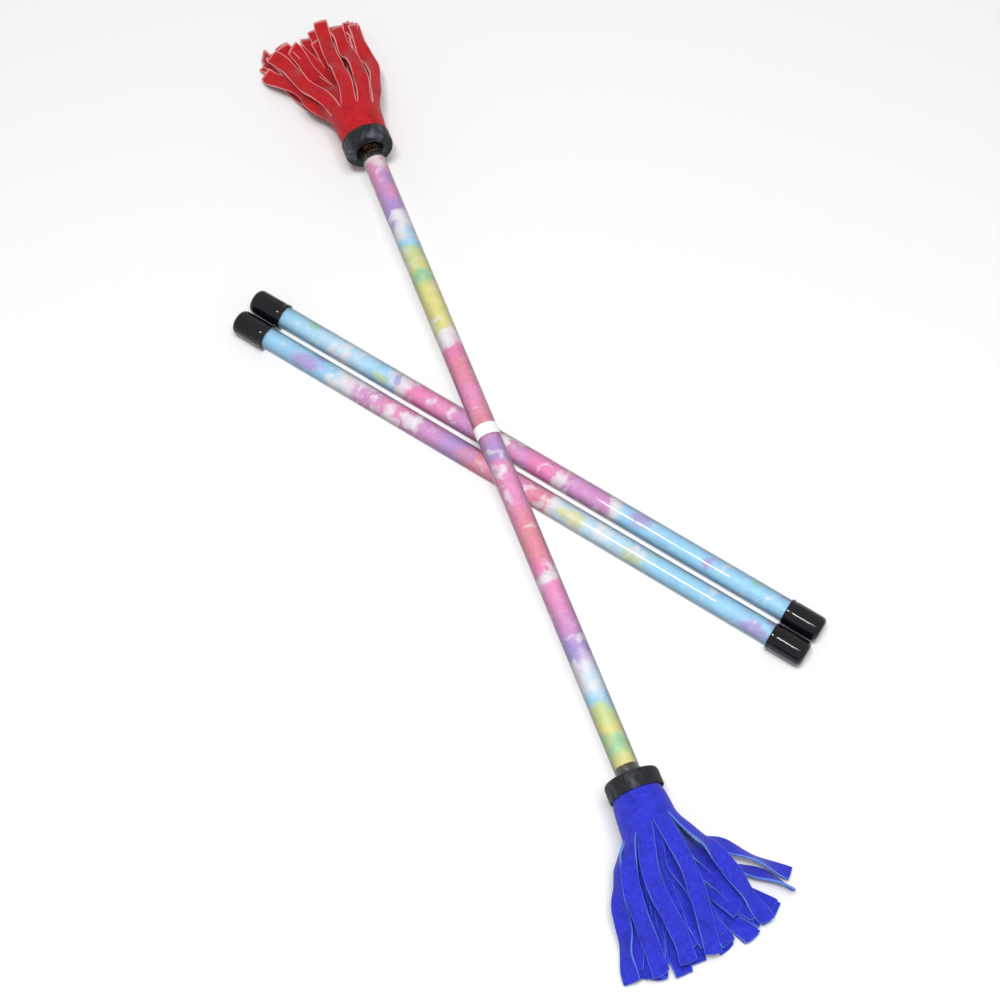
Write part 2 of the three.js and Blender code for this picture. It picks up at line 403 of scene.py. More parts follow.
def rod_material():
    """The fibreglass rod inside: off-white with lengthwise fibres."""
    graph = Graph("core_rod", Roughness=0.4)
    fibres = graph.noise(graph.mapped(graph.object_place(), scale=(0.02, 1, 1)), 2200, 3)
    graph.paint(graph.mix(fibres, colour(206, 204, 190), colour(232, 230, 220)))
    return graph.material


# worn_from is the wear where the edge's colour starts to show. Wear is 0 inside a face, 1 at its side.
SUEDE = {
    "red": {"deep": colour(132, 18, 26), "main": colour(188, 34, 40), "bright": colour(208, 56, 58),
            "edge": colour(248, 176, 176), "worn_from": 0.15},
    "blue": {"deep": colour(32, 34, 140), "main": colour(50, 56, 200), "bright": colour(74, 90, 222),
             "edge": colour(112, 162, 236), "worn_from": 0.5},
}

# Painted shade: a near-black for the suede inside the collar, where the collar's mouth shades it.
MOUTH_SHADE = colour(14, 13, 13)


def suede_material(end, cut_edge):
    """Split suede: a mottled nap on the faces, paler, rougher fibre where it was cut, and painted shade
    inside the collar's mouth.
    """
    dyes = SUEDE[end]
    name = f"{end}_suede_edge" if cut_edge else f"{end}_suede"
    graph = Graph(name, Roughness=0.92, Specular_IOR_Level=0.12, Sheen_Weight=0.1)
    graph.feed(graph.surface, "Sheen Roughness", 0.5)
    place = graph.attribute("cut_place", "Vector")
    patches = graph.noise(place, 380, 4, 0.65)
    grain = graph.noise(place, 2600, 3, 0.7)
    depth = graph.node("SeparateXYZ", None, {"Vector": place}).outputs["Y"]
    # Painted shade: the suede within 5.5 mm of the collar's face is painted near-black, fading out by 7.5
    # mm.
    mouth_shade = graph.between(depth, 0.0055, 0.0075, 1.0, 0.0)
    if cut_edge:
        cut = graph.mix(graph.between(grain, 0.35, 0.65), dyes["edge"], dyes["bright"])
        shown = graph.mix(graph.between(patches, 0.35, 0.6, 0.45, 0.0), cut, dyes["edge"])
    else:
        tone = graph.attribute("tone")
        wear = graph.attribute("wear")
        brushed = graph.noise(place, 85, 4, 0.6, 0.8)
        hide = graph.mix(graph.between(brushed, 0.25, 0.55, 0.5, 1.0), dyes["deep"], dyes["main"])
        hide = graph.mix(graph.between(patches, 0.45, 0.75, 0.0, 0.4), hide, dyes["bright"])
        hide = graph.mix(graph.between(grain, 0.28, 0.5, 0.4, 0.0), hide, dyes["deep"])
        hide = graph.mix(graph.between(tone, 0.0, 1.0, 0.3, 0.0), hide, dyes["deep"])
        border = graph.between(wear, dyes["worn_from"], dyes["worn_from"] + 0.55)
        worn = graph.math("MULTIPLY", border, graph.between(grain, 0.3, 0.6, 0.35, 0.85))
        shown = graph.mix(worn, hide, dyes["edge"])
    graph.paint(graph.mix(mouth_shade, shown, MOUTH_SHADE))
    nap = graph.math("ADD", graph.math("MULTIPLY", grain, 0.5), patches)
    graph.emboss(nap, 0.55, 0.0005)
    return graph.material


# ---------------- mesh helpers


def placed(name, data, place):
    """A new object of this data, in the scene at a place."""
    made = bpy.data.objects.new(name, data)
    made.matrix_world = place
    bpy.context.scene.collection.objects.link(made)
    return made


def made_object(name, vertices, faces, materials, place=Matrix.Identity(4)):
    """A shown mesh object with its faces turned outwards."""
    mesh = bpy.data.meshes.new(name)
    mesh.from_pydata([tuple(v) for v in vertices], [], faces)
    for material in materials:
        mesh.materials.append(material)
    shape = bmesh.new()
    shape.from_mesh(mesh)
    bmesh.ops.recalc_face_normals(shape, faces=shape.faces)
    shape.to_mesh(mesh)
    shape.free()
    return placed(name, mesh, place)


def smooth(piece, sharp_angle=40):
    """Smooth shading, with a hard edge where faces meet at more than sharp_angle degrees."""
    piece.data.shade_smooth()
    piece.data.set_sharp_from_angle(angle=math.radians(sharp_angle))
    return piece


def filleted(corners, steps=7):
    """An outline from (along, radius, fillet) corners, rounded at each corner that has a fillet."""
    points = []
    for i, (along, radius, fillet) in enumerate(corners):
        here = Vector((along, radius))
        if not fillet:
            points.append(here)
            continue
        before = (Vector(corners[i - 1][:2]) - here).normalized()
        after = (Vector(corners[(i + 1) % len(corners)][:2]) - here).normalized()
        reach = fillet / math.tan(before.angle(after) / 2)
        for step in range(steps + 1):
            t = step / steps
            start_share, end_share = (1 - t) ** 2, t**2
            points.append(here + before * reach * start_share + after * reach * end_share)
    return points


ROUND_SIDES = 96
# An outline's point nearer the axis than this, in metres, is one vertex on it.
ON_AXIS = 1e-7


def turned(name, outline, material, place, closed):
    """A piece of revolution about local X. An open outline starts and ends on the axis."""
    vertices, rings = [], []
    for along, radius in outline:
        if radius < ON_AXIS:
            rings.append([len(vertices)])
            vertices.append((along, 0, 0))
            continue
        rings.append(list(range(len(vertices), len(vertices) + ROUND_SIDES)))
        for k in range(ROUND_SIDES):
            vertices.append(around(along, radius, 2 * math.pi * k / ROUND_SIDES))
    faces = []
    pairs = list(zip(rings, rings[1:]))
    if closed:
        pairs.append((rings[-1], rings[0]))
    for ring, following in pairs:
        for k in range(ROUND_SIDES):
            corners = [ring[j % len(ring)] for j in (k, k + 1)]
            corners += [following[j % len(following)] for j in (k + 1, k)]
            corners = list(dict.fromkeys(corners))
            if len(corners) > 2:
                faces.append(corners)
    return smooth(made_object(name, vertices, faces, [material], place))


def ring_outline(start, end, inner, outer, fillet):
    """A closed outline of a plain tube between two places along the axis."""
    return filleted([
        (start, inner, fillet), (start, outer, fillet), (end, outer, fillet), (end, inner, fillet),
    ], 3)


def shell(name, points, count, material, place, wraps=False, sharp_angle=40):
    """A thin closed shell from two layers of grid points, count to a row, sealed along its rims."""
    size = len(points) // 2
    rows = size // count
    steps = count if wraps else count - 1
    joined = [(i * count + j, i * count + (j + 1) % count) for i in range(rows) for j in range(steps)]
    faces = []
    for layer in (0, size):
        for a, b in joined[:-steps]:
            faces.append((a + layer, b + layer, b + count + layer, a + count + layer))
    rims = joined[:steps] + joined[-steps:]
    if not wraps:
        rims += [(i * count + j, (i + 1) * count + j) for j in (0, count - 1) for i in range(rows - 1)]
    for a, b in rims:
        faces.append((a, b, b + size, a + size))
    return smooth(made_object(name, points, faces, [material], place), sharp_angle)


def finished(piece, body, node):
    """Rides the piece on its body and the CAD node that it stands for."""
    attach(piece, body)
    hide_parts(node)


# ---------------- sticks

PRINT_RADIUS = 4.8 * MM
PRINT_WALL = 0.25 * MM
TUBE_RADIUS = 7.5 * MM
TUBE_BORE = 4.72 * MM
CAP_RADIUS = 8.5 * MM
CAP_BORE = 7.55 * MM


def printed_grip(stick, body, place, tube_material):
    """The printed sleeve on a stick's rod, and the clear tube over it."""
    start, end = span(f"{stick}_print_sleeve", place)
    outline = ring_outline(start, end, PRINT_RADIUS - PRINT_WALL, PRINT_RADIUS, 0.05 * MM)
    sleeve = turned(f"{stick}_tie_dye_print", outline, tie_dye(stick), place, True)
    finished(sleeve, body, f"{stick}_print_sleeve")
    start, end = span(f"{stick}_grip_sleeve", place)
    outline = ring_outline(start, end, TUBE_BORE, TUBE_RADIUS, 0.4 * MM)
    tube = turned(f"{stick}_clear_tube", outline, tube_material, place, True)
    finished(tube, body, f"{stick}_grip_sleeve")


def vinyl_cap(name, body, place, node, side, material):
    """A dipped cap: a rolled bead and a groove at its mouth, straight walls, a rounded blind end."""
    start, end = span(node, place)
    length = end - start
    mouth = start if side > 0 else end
    wall_end = 1.7 * MM
    profile = filleted([
        (length, 0, 0),
        (length, CAP_RADIUS - 0.2 * MM, 3.8 * MM),
        (4.2 * MM, CAP_RADIUS - 0.12 * MM, 1.2 * MM),
        (2.9 * MM, CAP_RADIUS - 0.45 * MM, 0.5 * MM),
        (2.0 * MM, CAP_RADIUS, 0.5 * MM),
        (0.6 * MM, CAP_RADIUS, 0.5 * MM),
        (0, CAP_RADIUS - 0.2 * MM, 0.3 * MM),
        (0, CAP_BORE, 0.25 * MM),
        (length - wall_end, CAP_BORE, 0.8 * MM),
        (length - wall_end, 0, 0),
    ])
    outline = [(mouth + side * along, radius) for along, radius in profile]
    cap = turned(name, outline, material, place, False)
    finished(cap, body, node)


def hand_stick(name, materials):
    body = f"{name}_hand_stick"
    low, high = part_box(f"{name}_grip_sleeve")
    place = Matrix.Translation((low + high) / 2) @ HAND_TURN
    printed_grip(name, body, place, materials["tube"])
    for word, side in (("left", -1), ("right", 1)):
        node = f"{name}_cap_{word}"
        vinyl_cap(f"{name}_vinyl_cap_{word}", body, place, node, side, materials["vinyl"])


LABEL_RADIUS = 7.58 * MM
LABEL_PAPER = 0.11 * MM
# Angles round the tube: how far the label laps over itself, the ramp up to the lap, and its start.
LABEL_LAP = 0.35
LABEL_RAMP = 0.12
LABEL_START = math.radians(150)


def label(place, material):
    """A blank paper label round the tube, its end lapped over its start under the stick."""
    start, end = span("label_band", place)
    columns, rows = 132, 5
    sweep = 2 * math.pi + LABEL_LAP
    vertices = []
    for layer in (0, 1):
        for i in range(columns + 1):
            angle = sweep * i / columns
            lap = max(0.0, min(1.0, (angle - 2 * math.pi + LABEL_RAMP) / LABEL_RAMP))
            radius = LABEL_RADIUS + LABEL_PAPER * (layer + 1.05 * lap)
            for j in range(rows):
                along = start + (end - start) * j / (rows - 1)
                vertices.append(around(along, radius, angle + LABEL_START))
    band = shell("centre_label", vertices, rows, material, place)
    finished(band, "centre_stick", "label_band")


PLEATS = 26
PLEAT_FOOT = PRINT_RADIUS - 0.01 * MM
PLEAT_HEIGHT = 0.16 * MM


def neck_wrap(end, place, material):
    """Tape pleated lengthwise round the rod, seen through the clear tube beside the collar."""
    start, stop = span(f"{end}_neck_tape", place)
    sides, rows = 156, 14
    vertices = []
    for inside in (False, True):
        for j in range(rows + 1):
            along = start + (stop - start) * j / rows
            for k in range(sides):
                angle = 2 * math.pi * k / sides
                fold = abs(math.sin(PLEATS * angle / 2 + 0.4 * math.sin(2 * math.pi * j / rows)))
                radius = PRINT_RADIUS - PRINT_WALL if inside else PLEAT_FOOT + PLEAT_HEIGHT * fold
                vertices.append(around(along, radius, angle))
    wrap = shell(f"{end}_neck_wrap", vertices, sides, material, place, True, 60)
    finished(wrap, "centre_stick", f"{end}_neck_tape")


COLLAR_RADIUS = 16.5 * MM
COLLAR_BORE = 15.3 * MM
COLLAR_MOUTH = 9.8 * MM
COLLAR_FACE = 2.6 * MM


def collar(end, side, place, material):
    """A rubber ferrule: a thin wall over the suede, a rounded shoulder and a face turned in."""
    start, stop = span(f"{end}_rubber_collar", place)
    length = stop - start
    face = start if side > 0 else stop
    profile = filleted([
        (0.5 * MM, COLLAR_MOUTH, 0.7 * MM),
        (0, COLLAR_RADIUS - 0.8 * MM, 1.9 * MM),
        (2.4 * MM, COLLAR_RADIUS, 1.3 * MM),
        (length, COLLAR_RADIUS - 0.05 * MM, 0.45 * MM),
        (length, COLLAR_BORE, 0.3 * MM),
        (COLLAR_FACE, COLLAR_BORE, 1.0 * MM),
        (COLLAR_FACE, COLLAR_MOUTH, 0.6 * MM),
    ])
    outline = [(face + side * along, radius) for along, radius in profile]
    ring = turned(f"{end}_rubber_ferrule", outline, material, place, True)
    finished(ring, "centre_stick", f"{end}_rubber_collar")


# ---------------- suede tassels
# One long piece of suede per end, slit from its far edge into strips, wound round the tube.
# Lengths in this section are in mm until the mesh is made. Depth is the distance past the collar's
# face, and the sheet's own width runs round the winding. Heights are from the stick's axis, except
# those of the tips, which are above the table.

STRIP_WIDTH = 10.6
STRIP_COUNT = 34
SHEET_WIDTH = STRIP_WIDTH * STRIP_COUNT
DEPTHS = [3.2, 8.5, 11.2, 15.0, 22.0, 34.0]
OUTER_RADII = [13.8, 13.9, 14.6, 15.8, 16.6, 17.2]
INNER_RADII = [8.25, 8.25, 8.3, 8.4, 8.6, 9.0]
THICKNESSES = [1.1, 1.1, 1.3, 1.4, 1.4, 1.4]
BAND_ROWS = [3.2, 6.0, 8.5, 10.6, 12.6, 16.0, 21.0]
FREE_ROWS = 26
COLUMNS = [-0.5, -0.43, -0.25, 0.0, 0.25, 0.43, 0.5]
SLIT_OUTER_RADIUS = 16.3
SLIT_INNER_RADIUS = 8.8
KERF = 0.3
SLIT_DEPTH = 28.5
STEP = 1.0
LOW_TIP = 1.2
HIGH_TIP = {"blue": 11.0, "red": 17.0}
INNER_TIP = {"blue": 8.0, "red": 14.0}
AXIS_HEIGHT = CENTRE_AXIS_Z / MM
GRID = 220
# Places across a strip where its height is tested, and the gaps that it keeps under it.
OFFSETS = np.linspace(-0.5, 0.5, 9) * STRIP_WIDTH
PILE_GAP = 0.12
TABLE_GAP = 0.1
# How much of the pile's push lifts a strip past its ceiling, the slope that the first pass starts
# from, and the sine of the steepest slope.
CEILING_GIVE = 0.2
FIRST_SLOPE = -0.12
STEEPEST = 0.85
# How many radians the sheet goes round, and how much its radius falls in one of them.
SWEEP = SHEET_WIDTH / ((SLIT_OUTER_RADIUS + SLIT_INNER_RADIUS) / 2)
PITCH = (SLIT_OUTER_RADIUS - SLIT_INNER_RADIUS) / SWEEP


def wound_angle(across, first):
    """The angle round the stick, from its top, of a place across the sheet."""
    inside = np.maximum(SLIT_OUTER_RADIUS**2 - 2 * PITCH * across, 0)
    return first + (SLIT_OUTER_RADIUS - np.sqrt(inside)) / PITCH


def wound_radius(across, depth):
    """The sheet's middle radius at a place across it and a depth."""
    share = wound_angle(across, 0) / SWEEP
    outer = np.interp(depth, DEPTHS, OUTER_RADII)
    return outer * (1 - share) + np.interp(depth, DEPTHS, INNER_RADII) * share


def wound_point(across, depth, first):
    """A point of the wound sheet's middle, and the way its outer face looks."""
    angle = wound_angle(across, first)
    radius = wound_radius(across, depth)
    point = np.array([depth, radius * math.sin(angle), radius * math.cos(angle)])
    return point, np.array([0.0, math.sin(angle), math.cos(angle)])


class Pile:
    """Heights of what already lies on the table, relative to the stick's axis, on a 1 mm grid."""

    def __init__(self):
        self.heights = np.full((GRID, GRID), -AXIS_HEIGHT)

    def cells(self, x, y):
        column = np.clip(np.round(x).astype(int), 0, GRID - 1)
        row = np.clip(np.round(y).astype(int) + GRID // 2, 0, GRID - 1)
        return column, row

    def at(self, x, y):
        return self.heights[self.cells(x, y)]

    def add(self, x, y, z):
        for shift_x in (-0.5, 0.5):
            for shift_y in (-0.5, 0.5):
                np.maximum.at(self.heights, self.cells(x + shift_x, y + shift_y), z)


def eased(values, start, length):
    """A smooth step from 0 to 1 that starts at start and takes length."""
    t = np.clip((values - start) / length, 0, 1)
    return t * t * (3 - 2 * t)


def softened(values, reach):
    """A running average that keeps both ends."""
    padded = np.concatenate([np.full(reach, values[0]), values, np.full(reach, values[-1])])
    kernel = np.hanning(2 * reach + 3)[1:-1]
    return np.convolve(padded, kernel / kernel.sum(), mode="valid")


def strip_frames(heading, roll, slope):
    """Unit vectors along, across and out of a strip."""
    flat = np.cos(slope)
    along = np.stack([flat * np.cos(heading), flat * np.sin(heading), np.sin(slope)], 1)
    level = np.stack([-np.sin(heading), np.cos(heading), np.zeros_like(heading)], 1)
    upright = np.cross(along, level)
    across = level * np.cos(roll)[:, None] - upright * np.sin(roll)[:, None]
    outward = level * np.sin(roll)[:, None] + upright * np.cos(roll)[:, None]
    return along, across, outward


def stepped(root, along):
    """The path that starts at root and takes one step along each direction but the last."""
    return root + np.concatenate([np.zeros((1, 3)), np.cumsum(along[:-1] * STEP, 0)])


def covered(path, across):
    """The places on the table that a strip's width covers at each step."""
    return path[:, :1] + across[:, :1] * OFFSETS, path[:, 1:2] + across[:, 1:2] * OFFSETS


def lay_strip(pile, root, root_angle, style, thickness):
    """One strip's course from its slit to its tip, resting on the pile, which it then joins."""
    count = int(round(style["length"] / STEP)) + 1
    run = np.arange(count) * STEP
    if "course" in style:
        heading = softened(np.radians(np.interp(run, COURSE_RUNS, style["course"])), 4)
    else:
        late = math.radians(style["turn_back"]) * eased(run, style["length"] * 0.45, 40)
        heading = math.radians(style["heading"]) * eased(run, 0, style["bend"]) + late
        wave = np.sin(2 * math.pi * run / style["wave"] + style["phase"])
        heading += math.radians(style["sway"]) * wave * eased(run, 6, 22)
    heading *= eased(run, -4, 9)
    roll = root_angle + (math.radians(style["roll"]) - root_angle) * eased(run, 2, style["roll_run"])
    rocking = np.sin(2 * math.pi * run / (style["wave"] * 1.15) + style["phase"] * 1.7)
    roll += math.radians(style["rock"]) * rocking * eased(run, 8, 20)
    start_slope = 0.05 * math.cos(root_angle)
    free = root[2] + start_slope * run - style["droop"] * run**2 / 2
    fall = eased(run, *style["fall"])
    ceiling = root[2] * (1 - fall) + (style["tip_height"] - AXIS_HEIGHT) * fall
    crests = 1 - np.cos(2 * math.pi * run / style["wave"] + style["phase"])
    lift = style["lift"] * crests / 2 * eased(run, 18, 25)
    slope = np.full(count, FIRST_SLOPE)
    for _ in range(3):
        along, across, outward = strip_frames(heading, roll, slope)
        path = stepped(root, along)
        rise = across[:, 2:3] * OFFSETS
        half = thickness / 2 * np.abs(outward[:, 2:3])
        needed = pile.at(*covered(path, across)) - rise + half + PILE_GAP
        support = needed.max(1)
        support = np.where(support > ceiling, ceiling + (support - ceiling) * CEILING_GIVE, support)
        grip = eased(run, 3, 24)
        height = free.copy()
        for _ in range(4):
            height = np.maximum(height, support * grip + np.minimum(free, support) * (1 - grip))
            height = np.minimum(height, np.maximum(ceiling, support))
            height = np.where(run < 3, height, softened(height, 5))
        height = np.maximum(height, -AXIS_HEIGHT + thickness / 2 + np.abs(rise).max(1)) + lift
        height = root[2] + (height - root[2]) * eased(run, -2, 8)
        climb = np.gradient(softened(height, 2), STEP)
        slope = np.arcsin(np.clip(climb, -STEEPEST, STEEPEST))
    along, across, outward = strip_frames(heading, roll, slope)
    path = stepped(root, along)
    rise = across[:, 2:3] * OFFSETS
    half = thickness / 2 * np.abs(outward[:, 2:3])
    lowest = height + (rise - half).min(1)
    path[:, 2] = height + np.maximum(-AXIS_HEIGHT + TABLE_GAP - lowest, 0)
    top = path[:, 2:3] + rise + half
    x, y = covered(path, across)
    pile.add(x.ravel(), y.ravel(), top.ravel())
    return {"run": run, "path": path, "across": across, "outward": outward}


# How the outer turn's strips lie, first to last round the stick: the heading in degrees at each of
# COURSE_RUNS mm past the slit, the roll at the tip, the free length and the slit's depth in mm.
COURSE_RUNS = (4, 16, 28, 42, 56, 76)
OUTER_STRIPS = {
    "blue": [
        ((-40, -22, -20, -10, -14, -8), -178, 80, 29), ((-54, -14, -26, -2, -20, -4), -40, 79, 30),
        ((-26, -22, -8, 2, 4, -2), -16, 81, 33), ((-17, -15, -1, 12, 12, -5), -6, 81, 33),
        ((5, 12, 9, 2, -4, -6), 3, 85, 28.5), ((22, 33, 30, 20, 20, 16), 12, 84, 27.5),
        ((30, 44, 54, 52, 50, 48), 48, 75, 26), ((32, 40, 42, 48, 56, 36), 60, 82, 30),
        ((10, 14, 22, 28, 30, 28), 176, 84, 30), ((-6, -4, -2, 0, 2, 0), 182, 82, 30),
    ],
    "red": [
        ((-8, -6, -4, -2, 0, 0), -170, 82, 30), ((-18, -16, -8, 0, 8, 10), -66, 84, 30),
        ((-14, -18, -14, -3, 3, -3), -20, 90, 28), ((-12, -12, -7, 1, 4, 0), -8, 90, 28),
        ((-14, -10, 4, -3, 0, -6), 3, 95, 28.5), ((10, 24, 30, 8, 9, 30), 14, 82, 30.5),
        ((16, 30, 8, 22, 42, 16), 36, 75, 32), ((26, 34, 14, 10, 24, 20), 70, 76, 33),
        ((12, 14, 16, 18, 20, 20), 172, 82, 31), ((0, 2, 2, 4, 4, 4), 184, 82, 30),
    ],
}
OUTER_ROCK = 9
OUTER_LIFT = 0.8
INNER_DROOP = 0.8
INNER_LENGTH = {"blue": 79.0, "red": 90.0}
# Strips are narrower by up to this share in places, their tips are cut askew by up to TIP_SKEW mm,
# and STRIP_PHASE makes each differ from the next.
WIDTH_WAVE = 0.07
TIP_SKEW = 4.5
STRIP_PHASE = 5.1
TIP_WEAR = 0.7
SIDE_WEAR = 1.0
# The inner face takes its grain from this far away in the noise, so that it differs from the outer.
LAYER_SHIFT = 40.0
CREASE = 0.85
FIRST_ANGLE = {"blue": math.radians(-154), "red": math.radians(-159)}
SIDE = {"blue": 1, "red": -1}
SEED = {"blue": 11, "red": 23}
FAN = {"blue": (-18, 36), "red": (-13, 25)}


def strip_styles(end):
    """How each strip lies: the outer turn from a given table, the turns inside by a seeded draw."""
    draw = random.Random(SEED[end])
    fan_low, fan_high = FAN[end]
    styles = []
    for index in range(STRIP_COUNT):
        angle = float(wound_angle((index + 0.5) * STRIP_WIDTH, FIRST_ANGLE[end]))
        angle = (angle + math.pi) % (2 * math.pi) - math.pi
        side = math.sin(angle)
        steep = abs(math.degrees(angle))
        share = (side + 1) / 2
        style = {
            "angle": angle,
            "heading": fan_low + (fan_high - fan_low) * share + draw.uniform(-6, 6),
            "turn_back": draw.uniform(-9, 9),
            "length": INNER_LENGTH[end] + draw.uniform(-2, 6),
            "slit": SLIT_DEPTH + draw.uniform(-2.5, 3.5),
            "bend": draw.uniform(26, 44),
            "sway": draw.uniform(4, 9),
            "rock": draw.uniform(6, 16),
            "wave": draw.uniform(28, 48),
            "phase": draw.uniform(0, 2 * math.pi),
            "lift": draw.uniform(0.2, 1.6),
            "droop": draw.uniform(0.006, 0.011),
            "roll_run": draw.uniform(26, 46),
            "fall": (0, 56),
            "tone": draw.uniform(0.2, 1.0),
        }
        if steep < 70:
            style["roll"] = draw.uniform(-14, 14)
        elif steep < 128:
            style["roll"] = math.copysign(draw.choice([8, 16, 62, 78]), angle)
        else:
            style["roll"] = math.copysign(180 + draw.uniform(-12, 12), angle)
        if index < len(OUTER_STRIPS[end]):
            course, roll, length, slit = OUTER_STRIPS[end][index]
            style.update(course=course, roll=roll, length=length, slit=slit)
            style["tone"] = 0.55 + 0.45 * style["tone"]
            style["fall"] = (4, 84)
            style["rock"] += OUTER_ROCK
            style["lift"] += OUTER_LIFT
        else:
            style["droop"] *= INNER_DROOP
        styles.append(style)
    return styles


def sheet_of_strips(end, styles, courses, slits):
    """The suede's closed mesh, from the wound band and each strip's course."""
    vertices, known, tags = [], {}, []
    faces, rims = [], []
    rows = len(BAND_ROWS) + 1 + FREE_ROWS
    slit_row = len(BAND_ROWS)
    last = len(COLUMNS) - 1

    def place(strip, column, row, layer):
        """The vertex of a grid place, shared with the next strip where the sheet isn't cut."""
        if column == last and row <= slit_row and strip < STRIP_COUNT - 1:
            strip, column = strip + 1, 0
        key = (strip, column, row, layer)
        if key in known:
            return known[key]
        across = (strip + 0.5 + COLUMNS[column]) * STRIP_WIDTH
        slit = slits[strip] + (slits[strip + 1] - slits[strip]) * (COLUMNS[column] + 0.5)
        style, course = styles[strip], courses[strip]
        if row < slit_row:
            depth = BAND_ROWS[row]
        else:
            free = (row - slit_row) / FREE_ROWS
            depth = slit + (style["end"] + style["cut"] * COLUMNS[column] - slit) * free
        side = COLUMNS[column] * (STRIP_WIDTH - (KERF if row > slit_row else 0))
        if row > slit_row:
            side *= 1 - WIDTH_WAVE * (1 + math.sin(0.29 * depth + STRIP_PHASE * strip)) / 2
        if depth <= style["root"]:
            middle = (strip + 0.5) * STRIP_WIDTH
            point, out = wound_point(middle + side, depth, FIRST_ANGLE[end])
        else:
            run = depth - style["root"]
            centre, cross, out = (
                np.array([np.interp(run, course["run"], course[key][:, k]) for k in range(3)])
                for key in ("path", "across", "outward")
            )
            cross /= np.linalg.norm(cross)
            out /= np.linalg.norm(out)
            # A strip is as round across as the winding at its root, and flatter further out.
            radius = style["radius"] + run**2 * 0.02 + run * 0.6
            bend = side / radius
            point = centre + cross * radius * math.sin(bend) + out * radius * (math.cos(bend) - 1)
            out = out * math.cos(bend) + cross * math.sin(bend)
        thick = np.interp(depth, DEPTHS, THICKNESSES)
        point = point + out * thick * (0.5 - layer)
        edge = 0.0
        if row == rows - 1:
            edge = TIP_WEAR
        elif row > slit_row and column in (0, last):
            edge = SIDE_WEAR
        known[key] = len(vertices)
        vertices.append(point)
        tags.append((across, depth, layer * LAYER_SHIFT, edge, style["tone"]))
        return known[key]

    def wall(strip, a, b):
        """A cut edge between two grid places, joining the outer and inner faces."""
        outer = [place(strip, *spot, 0) for spot in (a, b)]
        inner = [place(strip, *spot, 1) for spot in (a, b)]
        faces.append(((outer[0], outer[1], inner[1], inner[0]), 1))
        rims.extend([tuple(sorted(outer)), tuple(sorted(inner))])

    for strip in range(STRIP_COUNT):
        for row in range(rows - 1):
            for column in range(last):
                for layer in (0, 1):
                    corners = [(column, row), (column + 1, row), (column + 1, row + 1), (column, row + 1)]
                    quad = tuple(place(strip, *corner, layer) for corner in corners)
                    faces.append((quad if layer else quad[::-1], 0))
        for column in range(last):
            wall(strip, (column, 0), (column + 1, 0))
            wall(strip, (column, rows - 1), (column + 1, rows - 1))
        for row in range(rows - 1):
            if row >= slit_row or strip == 0:
                wall(strip, (0, row), (0, row + 1))
            if row >= slit_row or strip == STRIP_COUNT - 1:
                wall(strip, (last, row), (last, row + 1))
    return np.array(vertices), faces, rims, tags


def tassel(end, materials):
    """One end's fringe: its strips are laid from the lowest to the highest, then meshed as one sheet."""
    styles = strip_styles(end)
    slits = [style["slit"] for style in styles] + [SLIT_DEPTH]
    pile = Pile()
    courses = {}
    for index, style in enumerate(styles):
        style["root"] = max(slits[index], slits[index + 1])
        style["end"] = style["root"] + style["length"]
        style["cut"] = TIP_SKEW * math.sin(STRIP_PHASE * index + 1)
        style["radius"] = float(wound_radius((index + 0.5) * STRIP_WIDTH, style["root"]))
    order = sorted(range(STRIP_COUNT), key=lambda k: styles[k]["radius"] * math.cos(styles[k]["angle"]))
    for rank, index in enumerate(order):
        style = styles[index]
        high = HIGH_TIP[end] if index < len(OUTER_STRIPS[end]) else INNER_TIP[end]
        style["tip_height"] = LOW_TIP + (high - LOW_TIP) * rank / (STRIP_COUNT - 1)
        root, _ = wound_point((index + 0.5) * STRIP_WIDTH, style["root"], FIRST_ANGLE[end])
        courses[index] = lay_strip(pile, root, style["angle"], style, THICKNESSES[-1])
    vertices, faces, rims, tags = sheet_of_strips(end, styles, courses, slits)
    side = SIDE[end]
    low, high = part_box(f"{end}_rubber_collar")
    face = low.x if side > 0 else high.x
    origin = np.array([face, CENTRE_AXIS_Y, CENTRE_AXIS_Z])
    shown = vertices * MM * np.array([side, side, 1]) + origin
    piece = made_object(f"{end}_suede_tassel", shown, [corners for corners, _ in faces], materials)
    mesh = piece.data
    mesh.polygons.foreach_set("material_index", [kind for _, kind in faces])
    values = np.array(tags)
    cut_place = mesh.attributes.new("cut_place", "FLOAT_VECTOR", "POINT")
    cut_place.data.foreach_set("vector", (values[:, :3] * MM).ravel())
    for name, column in (("wear", 3), ("tone", 4)):
        mesh.attributes.new(name, "FLOAT", "POINT").data.foreach_set("value", values[:, column])
    creased = set(rims)
    crease = mesh.attributes.new("crease_edge", "FLOAT", "EDGE")
    keys = [tuple(sorted(edge.vertices)) for edge in mesh.edges]
    crease.data.foreach_set("value", [CREASE if key in creased else 0.0 for key in keys])
    mesh.shade_smooth()
    fine = piece.modifiers.new("fine", "SUBSURF")
    fine.levels = 1
    fine.render_levels = 1
    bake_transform(piece)
    leaves = [f"{end}_fringe_{leaf}" for leaf in ("outer", "middle", "inner")]
    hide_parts(f"{end}_tassel_cuff", *leaves)


# ---------------- camera, light and table

CAMERA_PLACE = Vector((0.4926, -0.1841, 1.045))
CAMERA_AIM = Vector((0.0303, -0.0165, 0.0))
CAMERA_ROLL = math.radians(-0.54)
CAMERA_LENS = 66.85
KEY_PLACE = Vector((0.282, -0.388, 2.0))
KEY_SIZE = (0.44, 0.18)
KEY_WATTS = 13
FILL_PLACE = Vector((0.42, -0.05, 2.0))
FILL_SIZE = (0.9, 0.9)
FILL_WATTS = 31
WORLD_LIGHT = 0.42
WORLD_GLOSS = 0.75
TABLE_HALF = 20.0


